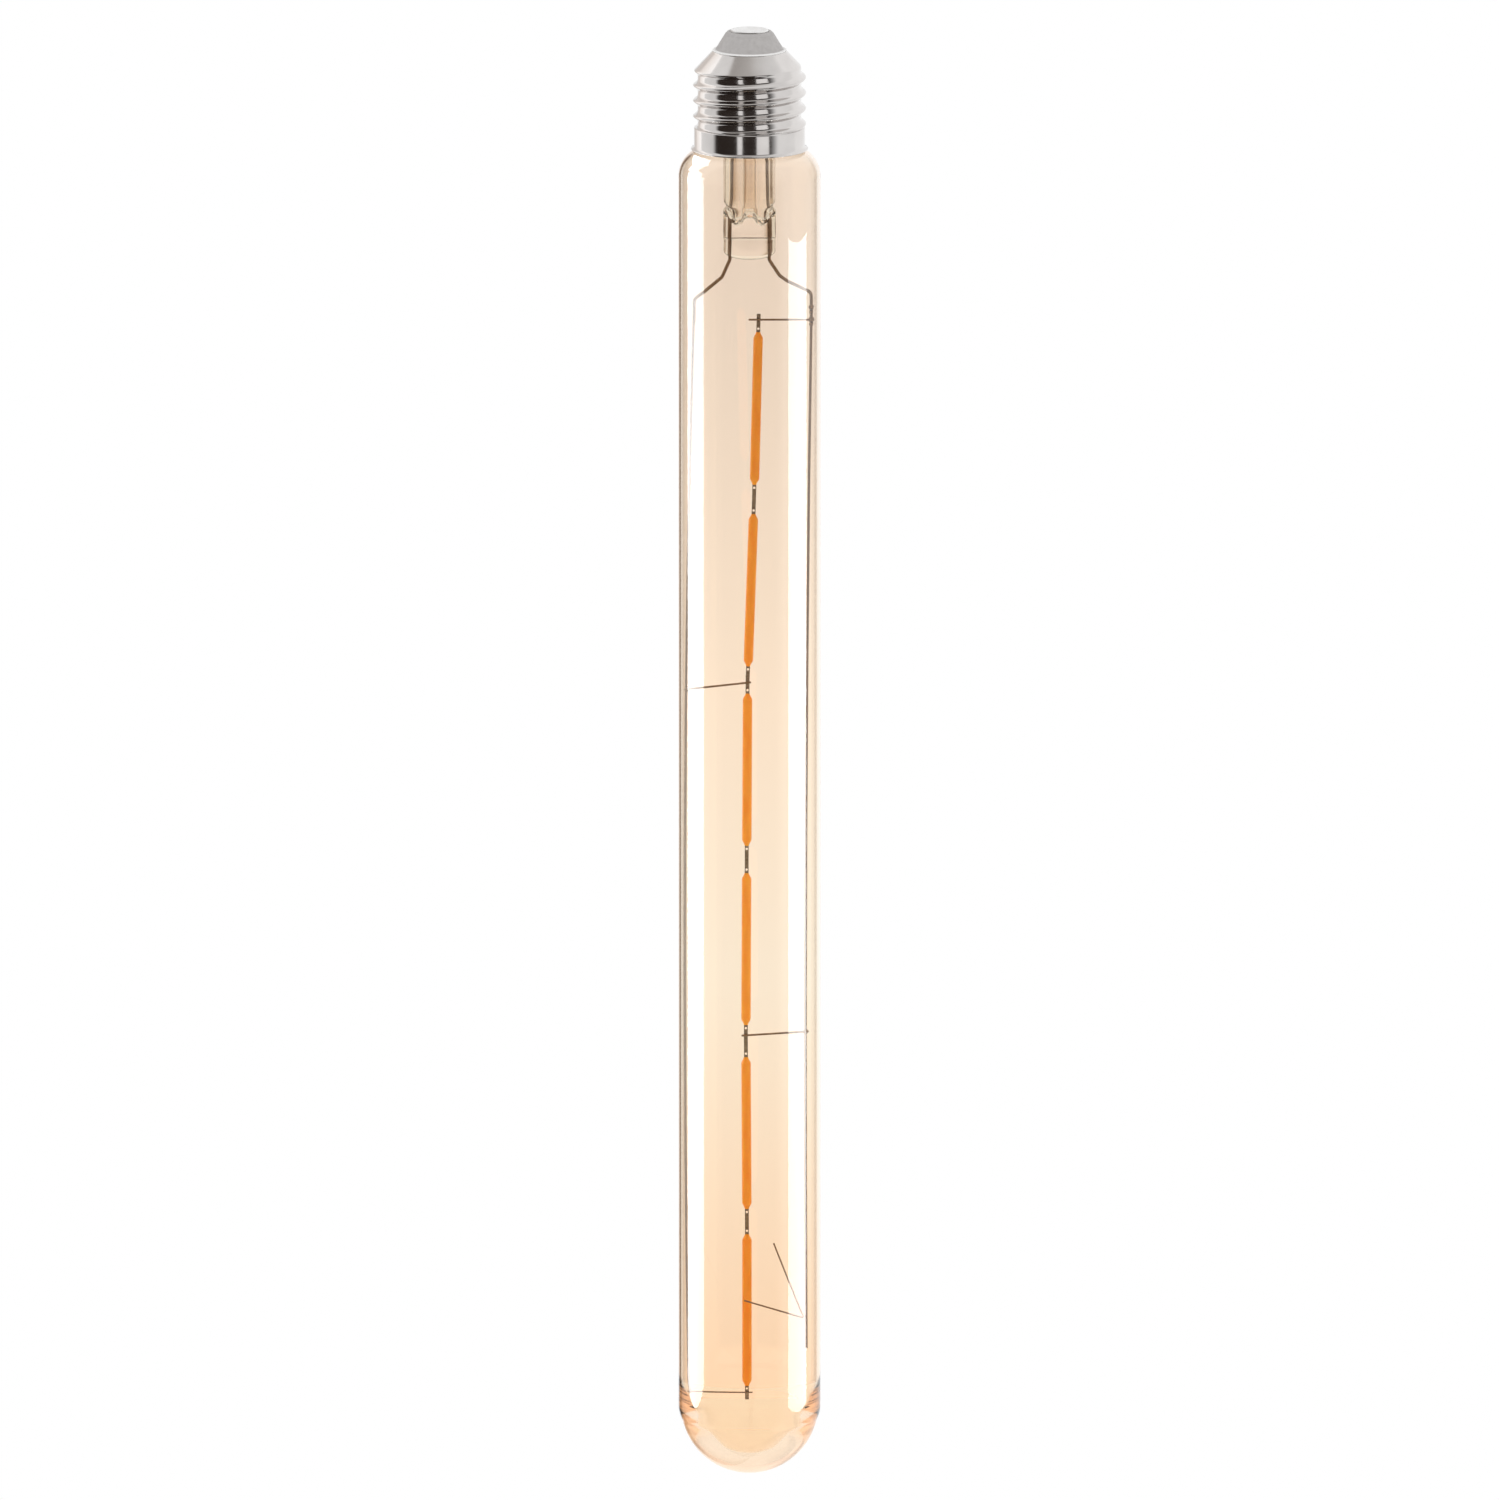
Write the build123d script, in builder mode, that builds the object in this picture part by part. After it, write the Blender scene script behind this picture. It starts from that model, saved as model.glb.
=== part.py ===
from build123d import *
import math
import os

os.makedirs("parts", exist_ok=True)

# Long tubular LED filament lamp with an E27 screw cap, cap up, in millimetres.
# Z is the axis of the lamp, and Z = 0 is the outer face of the centre contact.

# Centre contact and insulator
contact_radius = 4.4
contact_thickness = 0.8
contact_stand = 0.35
contact_edge = 0.15
contact_pin_radius = 1.4
contact_pin_length = 2.6
insulator_top_radius = 5.3
insulator_base_radius = 8.1
insulator_height = 4.6
insulator_edge = 0.3
insulator_flange_width = 0.7
insulator_flange_height = 0.9
fit_clearance = 0.05

# Rolled cap shell
shell_wall = 0.35
mouth_inset = 0.8
bead_width = 0.45
bead_height = 0.35
bead_edge = 0.15
cone_height = 3.6
thread_pitch = 3.629
thread_root_radius = 12.1
thread_depth = 1.0
thread_length = 13.9
thread_crest_width = 0.7
thread_width = 1.75
thread_foot_width = 3.1
thread_run_in = 2.7
thread_run_out = 1.6
skirt_radius = 12.85
skirt_step = 0.5
skirt_height = 4.4
lip_radius = 13.6
lip_height = 0.7

# Glass envelope
tube_radius = 16.5
glass_wall = 0.8
neck_radius = 11.2
neck_length = 11.0
cement_drop = 0.6
shoulder_angle = 60
lip_gap = 0.25
dome_inset = 0.5
dome_step_height = 3.4
dome_step_blend = 1.5
dome_bottom_thickness = 4.0
dome_side_excess = 6.3
dome_cap_inset = 2.2
dome_gap = 0.15

# Glass stem with its press and exhaust tube
stem_radius = 6.0
stem_wall = 1.2
stem_reach = 12.6
flare_height = 6.0
press_taper = 3.8
press_thickness = 4.4
press_height = 4.5
wing_height = 3.5
wing_thickness = 3.4
lobe_width = 8.4
lobe_drop = 1.5
press_ease = 0.4
hollow_depth = 4.0
hollow_gap = 1.0
blow_hole_radius = 0.8
exhaust_radius = 1.5
exhaust_wall = 0.25
exhaust_tip_gap = 1.5
exhaust_tip_length = 1.2
exhaust_seat = 2.4

# Wires
lead_diameter = 0.8
lead_top_spacing = 7.6
lead_exit_spacing = 9.1
lead_bend = 1.6
rail_diameter = 0.65
cross_diameter = 0.46
spring_diameter = 0.38
weld_gap = 0.02
weld_drop = 12.3
weld_length = 4.3
wire_stub = 0.4

# Lead-in bends on each side: share of the way out to the rail, and drop below the press
left_lead_bends = ((0.22, 5.7), (0.71, 9.1))
right_lead_bends = ((0.245, 5.3), (0.43, 6.6))
left_lead_drop = 11.0
right_lead_drop = 9.4

# Rail clearance from the glass at its top, middle and lower end
left_rail_clearances = (2.5, 0.3, 1.3)
right_rail_clearances = (1.0, 2.25, 2.15)
right_rail_stop = 8.9

# Spring support that rests on the glass in front and behind
spring_rise_front = 7.1
spring_rise_back = 14.9
spring_height = 7.1
spring_front_angle = -94
spring_back_angle = 68
spring_bend = 0.8
spring_seat = 0.2

# Filament string
filament_count = 6
filament_length = 35.9
filament_width = 2.2
filament_neck = 1.0
filament_taper = 1.1
string_top_drop = 18.6
weld_spans = (6.9, 6.45, 6.45, 7.6, 6.0)
weld_shifts = (0.0, -0.5, 0.0, 1.35, 0.0)
string_sway = (2.1, 1.05, -0.45, -0.65, -0.85, -0.6, -0.6)
pin_length = 4.3
pin_width = 0.9
pin_thickness = 0.25
pin_hole_radius = 0.3
pin_hole_sides = 8
pin_hole_inset = 0.8
first_weld_rise = 3.0
last_weld_drop = 1.9

# Cross wires: joint of the string, side of the rail, stub past the string, fall to the rail, stub past it
cross_wires = (
    (0, 1, 2.3, 0.0, 0.4),
    (2, -1, 0.8, 1.7, 0.15),
    (4, 1, 1.0, -1.0, 0.4),
    (6, -1, 1.3, 0.0, 0.5),
)

# Driver in the cap
board_thickness = 1.0
board_inset = 0.3
chip_leg_width = 0.4
chip_leg_thickness = 0.2
chip_leg_reach = 0.8
rectifier_size = (4.7, 3.8, 2.3)
rectifier_place = (-4.8, 2.6)
rectifier_leg_pitch = 2.6
driver_chip_size = (4.9, 3.9, 1.5)
driver_chip_place = (4.6, 2.8)
driver_chip_leg_pitch = 1.27
chip_resistor_size = (3.2, 1.6, 0.6)
chip_resistor_places = ((-4.0, -4.0), (4.0, -4.0))
chip_resistor_cap = 0.5
fuse_radius = 1.15
fuse_length = 5.5
fuse_lead_diameter = 0.6
fuse_stand = 2.0
fuse_edge = 0.4
side_lead_diameter = 0.6
side_lead_inset = 1.6

# Levels along the axis, from the contact down
insulator_top = -contact_stand
shell_top = insulator_top - insulator_height
cone_end = shell_top - cone_height
thread_end = cone_end - thread_length
skirt_top = thread_end - skirt_step
lip_top = skirt_top - skirt_height
cap_end = lip_top - lip_height
neck_rim = cap_end + neck_length
press_top = cap_end - stem_reach
press_slab_top = press_top - press_taper
press_step = press_slab_top - press_height
press_end = press_step - wing_height
weld_top = press_end - weld_drop
string_top = press_end - string_top_drop

# Radii that follow from the driving sizes
shell_bore = thread_root_radius - shell_wall
mouth_radius = insulator_base_radius - mouth_inset
thread_crest_radius = thread_root_radius + thread_depth
tube_bore = tube_radius - glass_wall
neck_bore = neck_radius - glass_wall
stem_bore = stem_radius - stem_wall
dome_radius = tube_radius - dome_inset

# Ends of each filament coat down the string, with the joints near half way between neighbours
coat_tops = [string_top]
for span in weld_spans:
    coat_tops.append(coat_tops[-1] - filament_length - span)
coat_bottoms = [top - filament_length for top in coat_tops]
first_joint = string_top + first_weld_rise
last_joint = coat_bottoms[-1] - last_weld_drop
coat_gaps = zip(coat_bottoms, coat_tops[1:], weld_shifts)
mid_joints = [(bottom + top) / 2 + shift for bottom, top, shift in coat_gaps]
joint_levels = [first_joint, *mid_joints, last_joint]
string_end = coat_bottoms[-1] - pin_length
dome_level = string_end - dome_gap


def save(piece, name):
    piece.part.label = name
    export_step(piece.part, f"parts/{name}.step")


def bent_wire(points, bends, diameter):
    with BuildPart() as piece:
        with BuildLine() as route:
            FilletPolyline(*points, radius=bends)
        with BuildSketch(Plane(origin=route.line @ 0, z_dir=route.line % 0)):
            Circle(diameter / 2)
        sweep()
    return piece


def bowed_wire(start, middle, end, diameter):
    with BuildPart() as piece:
        with BuildLine() as route:
            ThreePointArc(start, middle, end)
        with BuildSketch(Plane(origin=start, z_dir=route.line % 0)):
            Circle(diameter / 2)
        sweep()
    return piece, route.line


def straight_wire(start, end, diameter):
    with BuildPart() as piece:
        with BuildLine() as route:
            Line(start, end)
        with BuildSketch(Plane(origin=start, z_dir=route.line % 0)):
            Circle(diameter / 2)
        sweep()
    return piece


# Centre contact: a disc with a pin that holds it in the insulator
with BuildPart() as centre_contact:
    with BuildSketch(Plane.XY.offset(-contact_thickness)):
        Circle(contact_radius)
    extrude(amount=contact_thickness)
    chamfer(centre_contact.edges().group_by(Axis.Z)[-1], contact_edge)
    with BuildSketch(Plane.XY.offset(-contact_thickness)):
        Circle(contact_pin_radius)
    extrude(amount=-contact_pin_length)
save(centre_contact, "centre_contact")

# Insulator: a cone seated on the shell, with a flange below the shell's mouth
with BuildPart() as cap_insulator:
    with BuildSketch(Plane.XZ):
        with BuildLine():
            bore = contact_pin_radius + fit_clearance
            recess_radius = contact_radius + fit_clearance
            flange_radius = mouth_radius + insulator_flange_width
            flange_top = shell_top - shell_wall
            Polyline(
                (bore, -contact_thickness),
                (recess_radius, -contact_thickness),
                (recess_radius, insulator_top),
                (insulator_top_radius - insulator_edge, insulator_top),
                (insulator_top_radius, insulator_top - insulator_edge),
                (insulator_base_radius, shell_top),
                (mouth_radius, shell_top),
                (mouth_radius, flange_top),
                (flange_radius, flange_top),
                (flange_radius, flange_top - insulator_flange_height),
                (bore, flange_top - insulator_flange_height),
                close=True,
            )
        make_face()
    revolve(axis=Axis.Z)
save(cap_insulator, "cap_insulator")

# Cap shell: rolled sheet with a right-hand thread, a plain skirt and a flared lip
cone_foot = insulator_base_radius + fit_clearance + bead_width
cone_slope = cone_height / (thread_root_radius - cone_foot)
cone_inset = shell_wall * (math.hypot(1, cone_slope) - 1) / cone_slope
cone_drop = shell_wall * (math.hypot(1, cone_slope) - cone_slope)
sunk = shell_wall / 2
with BuildPart() as cap_shell:
    # Helical ridge with an eased crest and feet, sunk a little into the core
    helix_start = skirt_top - thread_run_in
    helix_end = cone_end + thread_run_out
    with BuildLine() as helix:
        Helix(thread_pitch, helix_end - helix_start, thread_root_radius, center=(0, 0, helix_start))
    with BuildSketch(Plane(origin=helix.line @ 0, x_dir=(1, 0, 0), z_dir=helix.line % 0)):
        with BuildLine():
            half_ridge = [
                (-sunk, thread_foot_width / 2),
                (thread_depth / 2, thread_width / 2),
                (thread_depth, thread_crest_width / 2),
            ]
            other_half = [(u, -v) for u, v in reversed(half_ridge)]
            Polyline(*half_ridge, *other_half, close=True)
        make_face()
    sweep(path=helix.line, is_frenet=True)
    with BuildSketch(Plane.XY.offset(cap_end)):
        Circle(thread_root_radius)
    extrude(amount=-cap_end)
    # The cone trims the core and the start of the thread, and the skirt takes up its end
    outside = thread_crest_radius + sunk
    with BuildSketch(Plane.XZ):
        with BuildLine():
            Polyline(
                (0, shell_top),
                (cone_foot, shell_top),
                (outside, shell_top - (outside - cone_foot) * cone_slope),
                (outside, skirt_top + sunk),
                (skirt_radius - sunk, skirt_top),
                (skirt_radius - sunk, lip_top),
                (0, lip_top),
                close=True,
            )
        make_face()
    revolve(axis=Axis.Z, mode=Mode.INTERSECT)
    with BuildSketch(Plane.XZ):
        with BuildLine():
            Polyline(
                (0, thread_end),
                (thread_root_radius - sunk, thread_end),
                (skirt_radius, skirt_top),
                (skirt_radius, lip_top),
                (lip_radius, cap_end),
                (0, cap_end),
                close=True,
            )
        make_face()
    revolve(axis=Axis.Z)
    # Inside of the sheet, and the mouth that the insulator passes through
    with BuildSketch(Plane.XZ):
        with BuildLine():
            Polyline(
                (0, shell_top - shell_wall),
                (cone_foot - cone_inset, shell_top - shell_wall),
                (shell_bore, cone_end - cone_drop),
                (shell_bore, thread_end - sunk),
                (skirt_radius - shell_wall, skirt_top - sunk),
                (skirt_radius - shell_wall, lip_top),
                (lip_radius - shell_wall, cap_end),
                (0, cap_end),
                close=True,
            )
        make_face()
    revolve(axis=Axis.Z, mode=Mode.SUBTRACT)
    with BuildSketch(Plane.XY.offset(shell_top)):
        Circle(mouth_radius)
    extrude(amount=-shell_wall, both=True, mode=Mode.SUBTRACT)
    # Rolled bead round the foot of the insulator
    with BuildSketch(Plane.XY.offset(shell_top - sunk)):
        Circle(cone_foot)
        Circle(insulator_base_radius + fit_clearance, mode=Mode.SUBTRACT)
    extrude(amount=bead_height + sunk)
    chamfer(cap_shell.edges().filter_by(GeomType.CIRCLE).group_by(Axis.Z)[-1], bead_edge)
save(cap_shell, "cap_shell")

# Cement between the neck of the glass and the shell
with BuildPart() as cap_cement:
    with BuildSketch(Plane.XY.offset(thread_end)):
        Circle(shell_bore)
        Circle(neck_radius, mode=Mode.SUBTRACT)
    extrude(amount=neck_rim - cement_drop - thread_end)
save(cap_cement, "cap_cement")

# Glass envelope, one blown tube from the neck to the thick bottom of the dome
lean = math.radians(shoulder_angle)
shoulder_level = cap_end - shell_wall
shoulder_rim = lip_radius - shell_wall - lip_gap
shoulder_round = (tube_radius - shoulder_rim) / (1 - math.cos(lean))
neck_end = shoulder_level + (shoulder_rim - neck_radius) / math.tan(lean)
with BuildPart() as glass_envelope:
    with BuildSketch(Plane.XZ) as section_face:
        with BuildLine():
            # Outside, from the rim of the neck down to the tip of the dome
            neck_out = Polyline(
                (neck_radius, neck_rim), (neck_radius, neck_end), (shoulder_rim, shoulder_level)
            )
            shoulder_out = JernArc(neck_out @ 1, neck_out % 1, shoulder_round, -shoulder_angle)
            side_out = Line(shoulder_out @ 1, (tube_radius, dome_level))
            step_radius = math.sqrt(dome_radius**2 - dome_step_height**2)
            step_point = (step_radius, dome_level - dome_step_height)
            TangentArc(side_out @ 1, step_point, tangent=(0, -1))
            dome_start = math.degrees(math.asin(dome_step_height / dome_radius))
            dome_out = CenterArc((0, dome_level), dome_radius, -dome_start, dome_start - 90)
            # Inside, from the thick bottom back up to the neck
            bottom_inside = dome_level - dome_radius + dome_bottom_thickness
            cap_bore = tube_bore - dome_cap_inset
            cap_rise = math.sqrt((dome_side_excess + dome_cap_inset) ** 2 - dome_side_excess**2)
            cap_sweep = math.degrees(math.atan2(dome_side_excess, cap_rise))
            dome_cap = CenterArc((0, bottom_inside + cap_bore), cap_bore, -90, cap_sweep)
            inside_level = bottom_inside + cap_bore + cap_rise
            dome_in = TangentArc(dome_cap @ 1, (tube_bore, inside_level), tangent=dome_cap % 1)
            Line(dome_out @ 1, dome_cap @ 0)
            side_in = Line(dome_in @ 1, (tube_bore, (shoulder_out @ 1).Y))
            shoulder_in = JernArc(side_in @ 1, (0, 1), shoulder_round - glass_wall, shoulder_angle)
            cone_in = ((shoulder_in @ 1).X - neck_bore) / math.tan(lean)
            neck_foot = (neck_bore, (shoulder_in @ 1).Y + cone_in)
            Polyline(shoulder_in @ 1, neck_foot, (neck_bore, neck_rim), (neck_radius, neck_rim))
        make_face()
        fillet(section_face.vertices().sort_by_distance(step_point)[0], dome_step_blend)
    revolve(axis=Axis.Z)
save(glass_envelope, "glass_envelope")

# Lead-in wires, from the driver board through the press to the rails
rail_radius = rail_diameter / 2
lead_radius = lead_diameter / 2
wire_pair = rail_radius + lead_radius + weld_gap
left_rail_x = [-(tube_bore - gap - rail_radius) for gap in left_rail_clearances]
right_rail_x = [tube_bore - gap - rail_radius for gap in right_rail_clearances]


def lead_in(side, rail_x, bends, corner_drop):
    exit_x = side * lead_exit_spacing / 2
    points = [(side * lead_top_spacing / 2, 0, neck_rim), (exit_x, 0, press_end - lead_bend)]
    for share, drop in bends:
        points.append((exit_x + (rail_x - exit_x) * share, 0, press_end - drop))
    points.append((rail_x, wire_pair, press_end - corner_drop))
    points.append((rail_x, wire_pair, weld_top - weld_length))
    return bent_wire(points, lead_bend, lead_diameter)


lead_in_left = lead_in(-1, left_rail_x[0], left_lead_bends, left_lead_drop)
lead_in_right = lead_in(1, right_rail_x[0], right_lead_bends, right_lead_drop)
save(lead_in_left, "lead_in_left")
save(lead_in_right, "lead_in_right")

# Hollow of the stem, which closes to a slot in the press
with BuildPart() as stem_hollow:
    with BuildSketch(Plane.XY.offset(press_top)):
        Circle(stem_bore)
    extrude(amount=-hollow_depth)
    with BuildSketch(Plane.YZ):
        with BuildLine():
            Polyline(
                (-stem_bore, press_top),
                (stem_bore, press_top),
                (hollow_gap / 2, press_top - hollow_depth),
                (-hollow_gap / 2, press_top - hollow_depth),
                close=True,
            )
        make_face()
    extrude(amount=stem_radius, both=True, mode=Mode.INTERSECT)

# Pinched end of the stem: a round body squeezed to a slab, then thinner wings and a lobe
with BuildPart() as press:
    with BuildSketch(Plane.XY.offset(press_top)):
        Circle(stem_radius)
    extrude(amount=press_end - press_top)
    with BuildSketch(Plane.YZ):
        with BuildLine():
            half_slab = press_thickness / 2
            half_wing = wing_thickness / 2
            Polyline(
                (-stem_radius, press_top),
                (stem_radius, press_top),
                (half_slab, press_slab_top),
                (half_slab, press_step),
                (half_wing, press_step - press_ease),
                (half_wing, press_end),
                (-half_wing, press_end),
                (-half_wing, press_step - press_ease),
                (-half_slab, press_step),
                (-half_slab, press_slab_top),
                close=True,
            )
        make_face()
    extrude(amount=stem_radius, both=True, mode=Mode.INTERSECT)
    with BuildSketch(Plane.XZ):
        with BuildLine():
            lobe = ThreePointArc(
                (-lobe_width / 2, press_end), (0, press_end - lobe_drop), (lobe_width / 2, press_end)
            )
            Line(lobe @ 1, lobe @ 0)
        make_face()
    extrude(amount=wing_thickness / 2, both=True)

# Stem: flare sealed to the neck, tube, and the press that grips the lead-in wires
flare_level = neck_rim - flare_height
with BuildPart() as stem:
    with BuildSketch(Plane.XZ):
        with BuildLine():
            Polyline(
                (stem_radius, press_top),
                (stem_radius, flare_level - stem_wall),
                (neck_bore, neck_rim - stem_wall),
                (neck_bore, neck_rim),
                (stem_bore, flare_level),
                (stem_bore, press_top),
                close=True,
            )
        make_face()
    revolve(axis=Axis.Z)
    add(press.part)
    add(stem_hollow.part, mode=Mode.SUBTRACT)
    # Hole in front through which the lamp is pumped out
    with BuildSketch(Plane.XZ):
        with Locations((0, press_top - hollow_depth + blow_hole_radius)):
            Circle(blow_hole_radius)
    extrude(amount=stem_radius, mode=Mode.SUBTRACT)
    add(lead_in_left.part, mode=Mode.SUBTRACT)
    add(lead_in_right.part, mode=Mode.SUBTRACT)
save(stem, "stem")

# Exhaust tube, open at the press and sealed with a tapered tip below the board
with BuildPart() as exhaust_tube:
    with BuildSketch(Plane.XZ):
        with BuildLine():
            tip = neck_rim - exhaust_tip_gap
            foot = press_top - exhaust_seat
            exhaust_bore = exhaust_radius - exhaust_wall
            Polyline(
                (0, tip),
                (exhaust_bore, tip),
                (exhaust_radius, tip - exhaust_tip_length),
                (exhaust_radius, foot),
                (exhaust_bore, foot),
                (exhaust_bore, tip - exhaust_tip_length),
                (0, tip - exhaust_tip_length),
                close=True,
            )
        make_face()
    revolve(axis=Axis.Z)
save(exhaust_tube, "exhaust_tube")

# Rails, bowed a little, welded in front of the lead-in wires
spring_level = coat_bottoms[-1] + right_rail_stop + spring_height
left_rail_end = joint_levels[-1] - cross_diameter / 2 - wire_stub
right_rail_end = coat_bottoms[-1] + right_rail_stop
left_rail_points = zip(left_rail_x, (weld_top, (weld_top + left_rail_end) / 2, left_rail_end))
right_rail_points = zip(right_rail_x, (weld_top, (weld_top + right_rail_end) / 2, right_rail_end))
rail_left, left_route = bowed_wire(*[(x, 0, z) for x, z in left_rail_points], rail_diameter)
rail_right, right_route = bowed_wire(*[(x, 0, z) for x, z in right_rail_points], rail_diameter)
save(rail_left, "rail_left")
save(rail_right, "rail_right")


def rail_point(side, level):
    route = right_route if side > 0 else left_route
    top = (route @ 0).Z
    bottom = (route @ 1).Z
    return route @ ((top - level) / (top - bottom))


# Cross wires, welded to the front of the pins and rails
cross_radius = cross_diameter / 2
for number, (joint, side, stub, fall, rail_stub) in enumerate(cross_wires, 1):
    level = joint_levels[joint]
    depth = -(max(pin_thickness, rail_radius) + cross_radius + weld_gap)
    rail_x = rail_point(side, level - fall).X
    string_x = string_sway[joint]
    start = (string_x - side * stub, depth, level)
    end = (rail_x + side * (rail_radius + rail_stub), depth, level - fall)
    save(straight_wire(start, end, cross_diameter), f"cross_wire_{number}")

# Spring support, a V of thin wire welded to the right rail
spring_radius = spring_diameter / 2
apex_rail = rail_point(1, spring_level)
apex = Vector(apex_rail.X - rail_radius - spring_radius - weld_gap, 0, spring_level)
reach = tube_bore - spring_seat - spring_radius
front = math.radians(spring_front_angle)
back = math.radians(spring_back_angle)
front_tip = Vector(reach * math.cos(front), reach * math.sin(front), spring_level + spring_rise_front)
back_tip = Vector(reach * math.cos(back), reach * math.sin(back), spring_level + spring_rise_back)
spring_support = bent_wire([front_tip, apex, back_tip], spring_bend, spring_diameter)
save(spring_support, "spring_support")

# Filament coats and their pins, down the string
for index in range(filament_count):
    coat_top = coat_tops[index]
    coat_bottom = coat_bottoms[index]
    upper_joint = Vector(string_sway[index], 0, joint_levels[index])
    lower_joint = Vector(string_sway[index + 1], 0, joint_levels[index + 1])
    down = (lower_joint - upper_joint).normalized()
    across = Vector(-down.Z, 0, down.X)
    middle = (upper_joint + lower_joint) / 2
    middle = middle + down * (((coat_top + coat_bottom) / 2 - middle.Z) / down.Z)

    half = filament_length / 2
    shoulder = half - filament_taper
    with BuildPart() as filament:
        with BuildSketch(Plane(origin=middle, x_dir=across, z_dir=(0, 1, 0))):
            with BuildLine():
                Polyline(
                    (0, half),
                    (filament_neck / 2, half),
                    (filament_width / 2, shoulder),
                    (filament_width / 2, -shoulder),
                    (filament_neck / 2, -half),
                    (0, -half),
                    close=True,
                )
            make_face()
        revolve(axis=Axis(middle, down))
    save(filament, f"filament_{index + 1}")

    for place, end in (("top", -1), ("bottom", 1)):
        pin_plane = Plane(origin=middle + down * end * half, x_dir=across, z_dir=(0, end, 0))
        with BuildPart() as pin:
            with BuildSketch(pin_plane) as blade:
                with Locations((0, pin_length / 2)):
                    Rectangle(pin_width, pin_length)
                with Locations((0, pin_hole_inset)):
                    RegularPolygon(pin_hole_radius, pin_hole_sides, mode=Mode.SUBTRACT)
            extrude(amount=pin_thickness)
        save(pin, f"filament_{index + 1}_{place}_pin")

# Driver board, seated on the rim of the neck
board_top = neck_rim + board_thickness
board_radius = neck_radius - board_inset
with BuildPart() as driver_board:
    with BuildSketch(Plane.XY.offset(neck_rim)):
        Circle(board_radius)
    extrude(amount=board_thickness)
save(driver_board, "driver_board")


def flat_chip(size, place, legs, leg_pitch):
    length, width, height = size
    with BuildPart() as piece:
        with BuildSketch(Plane.XY.offset(board_top + chip_leg_thickness)):
            with Locations(place):
                Rectangle(length, width)
        extrude(amount=height - chip_leg_thickness)
        with BuildSketch(Plane.XY.offset(board_top)):
            with Locations(place):
                with GridLocations(leg_pitch, 0, legs, 1):
                    Rectangle(chip_leg_width, width + 2 * chip_leg_reach)
        extrude(amount=chip_leg_thickness)
    return piece


bridge_rectifier = flat_chip(rectifier_size, rectifier_place, 2, rectifier_leg_pitch)
save(bridge_rectifier, "bridge_rectifier")
driver_chip = flat_chip(driver_chip_size, driver_chip_place, 4, driver_chip_leg_pitch)
save(driver_chip, "driver_chip")

# Chip resistors, with a step down from the end caps to the body
for number, place in enumerate(chip_resistor_places, 1):
    length, width, height = chip_resistor_size
    with BuildPart() as chip_resistor:
        with BuildSketch(Plane.XY.offset(board_top)):
            with Locations(place):
                Rectangle(length, width)
        extrude(amount=height)
        with BuildSketch(Plane.XY.offset(board_top + height - fit_clearance)):
            with Locations(place):
                Rectangle(length - 2 * chip_resistor_cap, width)
        extrude(amount=height, mode=Mode.SUBTRACT)
    save(chip_resistor, f"chip_resistor_{number}")

# Fuse resistor between the board and the pin of the centre contact
fuse_bottom = board_top + fuse_stand
contact_pin_end = -contact_thickness - contact_pin_length
with BuildPart() as fuse_resistor:
    with BuildSketch(Plane.XY.offset(fuse_bottom)):
        Circle(fuse_radius)
    extrude(amount=fuse_length)
    chamfer(fuse_resistor.edges().filter_by(GeomType.CIRCLE), fuse_edge)
    with BuildSketch(Plane.XY.offset(board_top)):
        Circle(fuse_lead_diameter / 2)
    extrude(amount=contact_pin_end - board_top)
save(fuse_resistor, "fuse_resistor")

# Side lead, flat on the board and out to the wall of the shell
side_lead_level = board_top + side_lead_diameter / 2
side_lead_start = (board_radius - side_lead_inset, 0, side_lead_level)
side_lead_end = (shell_bore - fit_clearance, 0, side_lead_level)
side_lead = straight_wire(side_lead_start, side_lead_end, side_lead_diameter)
save(side_lead, "side_lead")
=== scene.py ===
import math
import bpy
import bmesh
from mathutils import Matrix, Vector


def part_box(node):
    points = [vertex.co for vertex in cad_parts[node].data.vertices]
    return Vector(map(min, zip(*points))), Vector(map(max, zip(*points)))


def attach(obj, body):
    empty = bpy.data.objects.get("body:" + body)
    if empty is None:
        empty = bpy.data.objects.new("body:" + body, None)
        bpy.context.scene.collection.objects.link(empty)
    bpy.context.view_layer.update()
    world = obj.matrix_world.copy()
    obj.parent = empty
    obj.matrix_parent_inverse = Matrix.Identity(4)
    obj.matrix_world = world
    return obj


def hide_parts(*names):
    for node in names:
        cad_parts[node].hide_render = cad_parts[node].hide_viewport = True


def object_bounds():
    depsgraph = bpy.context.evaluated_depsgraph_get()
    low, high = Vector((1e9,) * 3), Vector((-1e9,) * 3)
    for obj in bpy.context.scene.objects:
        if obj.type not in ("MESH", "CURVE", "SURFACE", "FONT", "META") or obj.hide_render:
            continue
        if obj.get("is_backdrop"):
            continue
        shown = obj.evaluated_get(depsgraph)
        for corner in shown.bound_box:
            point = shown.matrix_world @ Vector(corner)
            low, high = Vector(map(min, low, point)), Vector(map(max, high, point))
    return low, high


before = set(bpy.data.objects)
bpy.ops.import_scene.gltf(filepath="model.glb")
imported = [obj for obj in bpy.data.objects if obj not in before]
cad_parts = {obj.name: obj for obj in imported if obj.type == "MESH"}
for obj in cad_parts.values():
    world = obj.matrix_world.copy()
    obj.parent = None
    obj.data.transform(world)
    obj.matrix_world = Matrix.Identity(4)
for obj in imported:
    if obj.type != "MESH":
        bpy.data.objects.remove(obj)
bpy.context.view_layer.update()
mm = 0.001
mergeGap = 0.0005 * mm              # points closer than this become one
print("frame loaded:", len(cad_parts), "nodes")


# small helpers for profiles and meshes

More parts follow.
